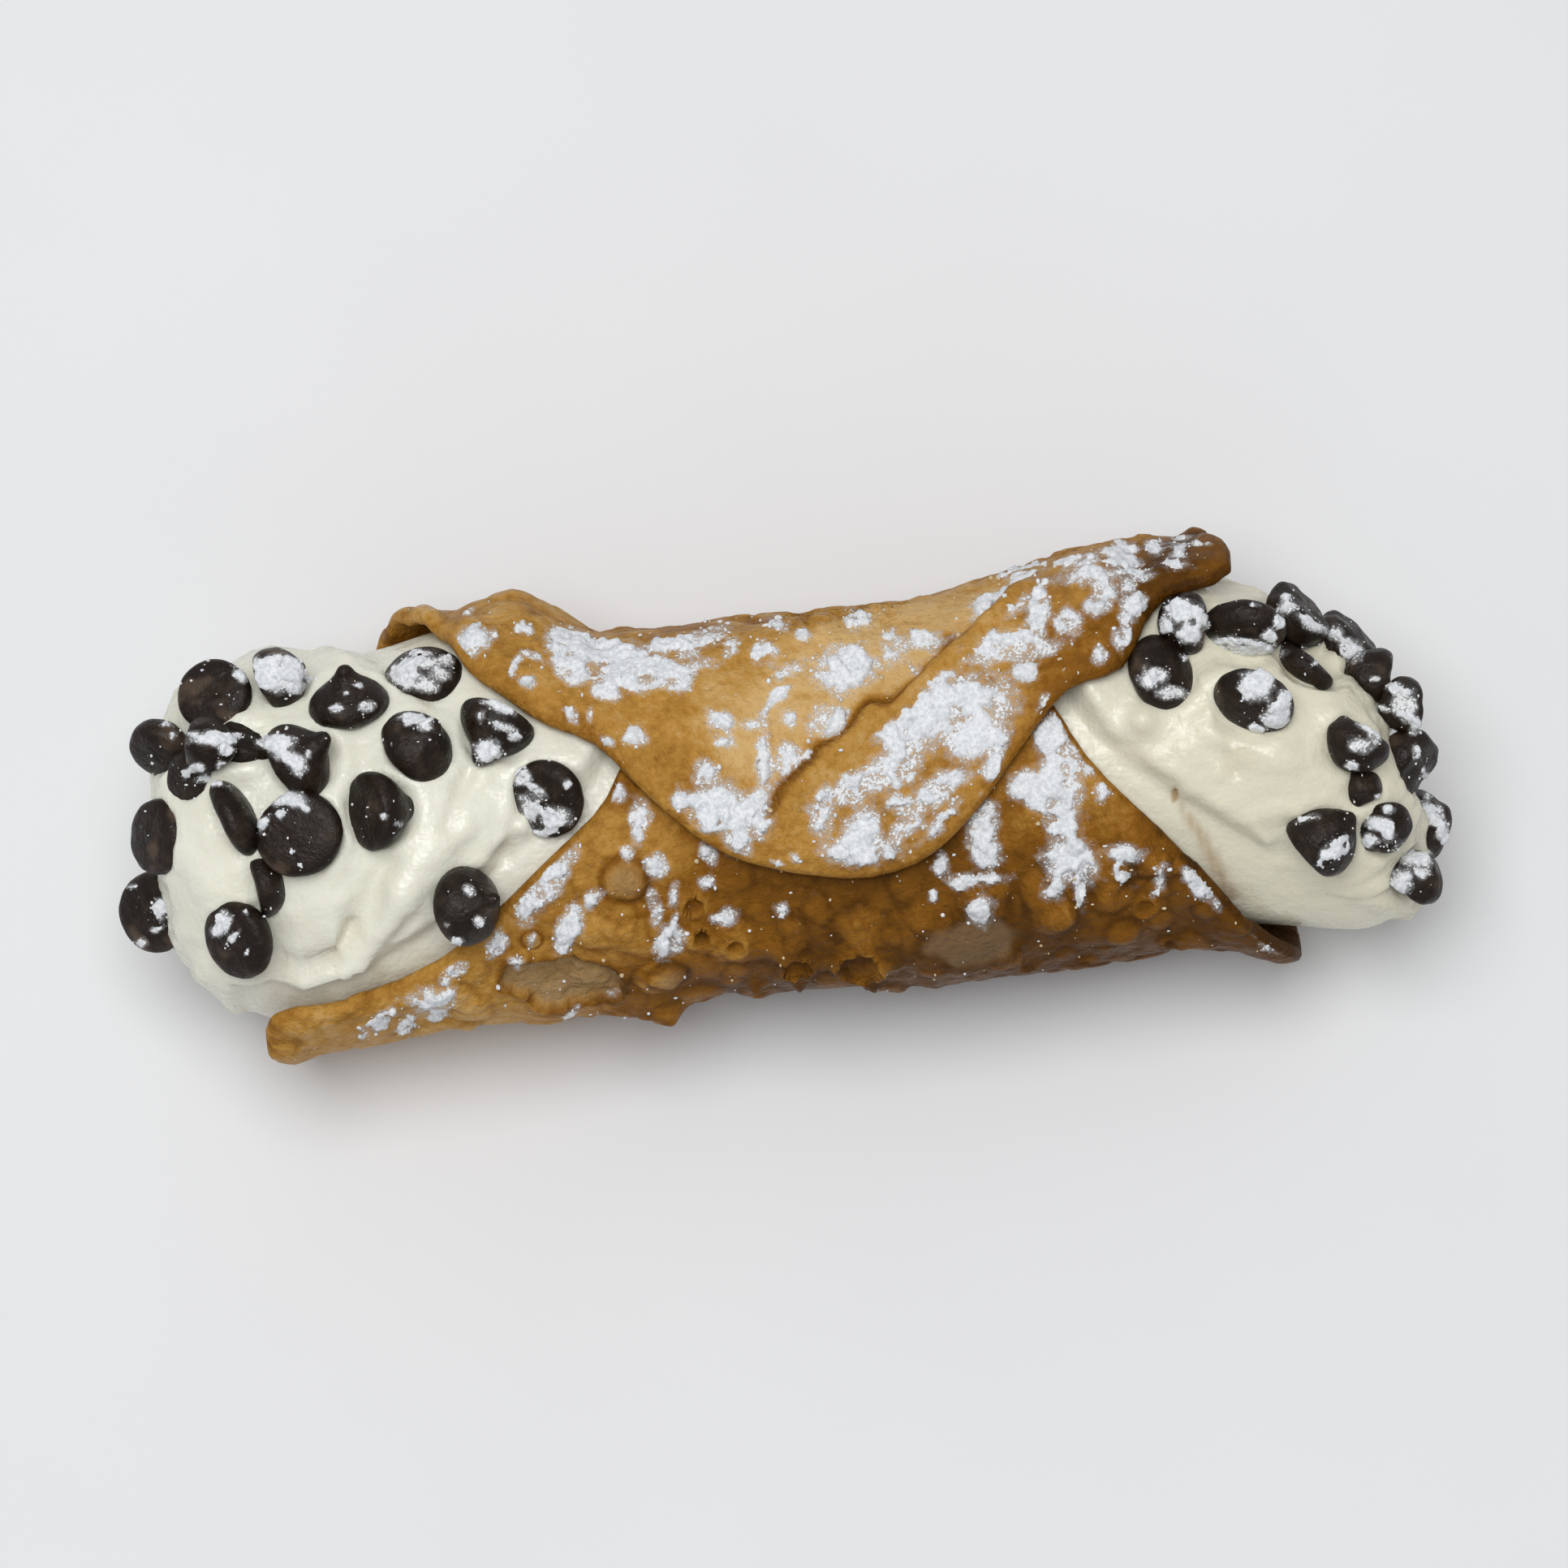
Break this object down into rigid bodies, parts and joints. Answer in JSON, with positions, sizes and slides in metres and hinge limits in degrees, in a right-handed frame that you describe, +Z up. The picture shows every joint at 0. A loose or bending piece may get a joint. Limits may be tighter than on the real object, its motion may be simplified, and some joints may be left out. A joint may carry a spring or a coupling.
{
  "type": "cannolo",
  "caption": "Filled fried pastry tube lying on its side, its dough lapped over on top, cream swelling from both ends with dark chocolate drops pressed into it.",
  "frame": {"origin": "on the table, under the middle of the tube's axis", "axes": "+X along the tube towards the end with the fewer drops, +Z up, -Y towards the side that the open edge of the lap faces"},
  "size_m": [0.1649, 0.0544, 0.0517],
  "materials": {
    "fried_dough": "matt, blistered, dusted with powdered sugar",
    "cream": "soft, slightly wet and grainy",
    "chocolate": "satin dark chocolate, partly dusted"
  },
  "bodies": {
    "root": {"shell": "fried_dough", "cream": "cream", "drop_left_01": "chocolate", "drop_left_02": "chocolate", "drop_left_03": "chocolate", "drop_left_04": "chocolate", "drop_left_05": "chocolate", "drop_left_06": "chocolate", "drop_left_07": "chocolate", "drop_left_08": "chocolate", "drop_left_09": "chocolate", "drop_left_10": "chocolate", "drop_left_11": "chocolate", "drop_left_12": "chocolate", "drop_left_13": "chocolate", "drop_left_14": "chocolate", "drop_left_15": "chocolate", "drop_left_16": "chocolate", "drop_left_17": "chocolate", "drop_left_18": "chocolate", "drop_left_19": "chocolate", "drop_left_20": "chocolate", "drop_right_01": "chocolate", "drop_right_02": "chocolate", "drop_right_03": "chocolate", "drop_right_04": "chocolate", "drop_right_05": "chocolate", "drop_right_06": "chocolate", "drop_right_07": "chocolate", "drop_right_08": "chocolate", "drop_right_09": "chocolate", "drop_right_10": "chocolate", "drop_right_11": "chocolate", "drop_right_12": "chocolate", "drop_right_13": "chocolate", "drop_right_14": "chocolate", "drop_right_15": "chocolate", "drop_right_16": "chocolate"}
  },
  "joints": []
}
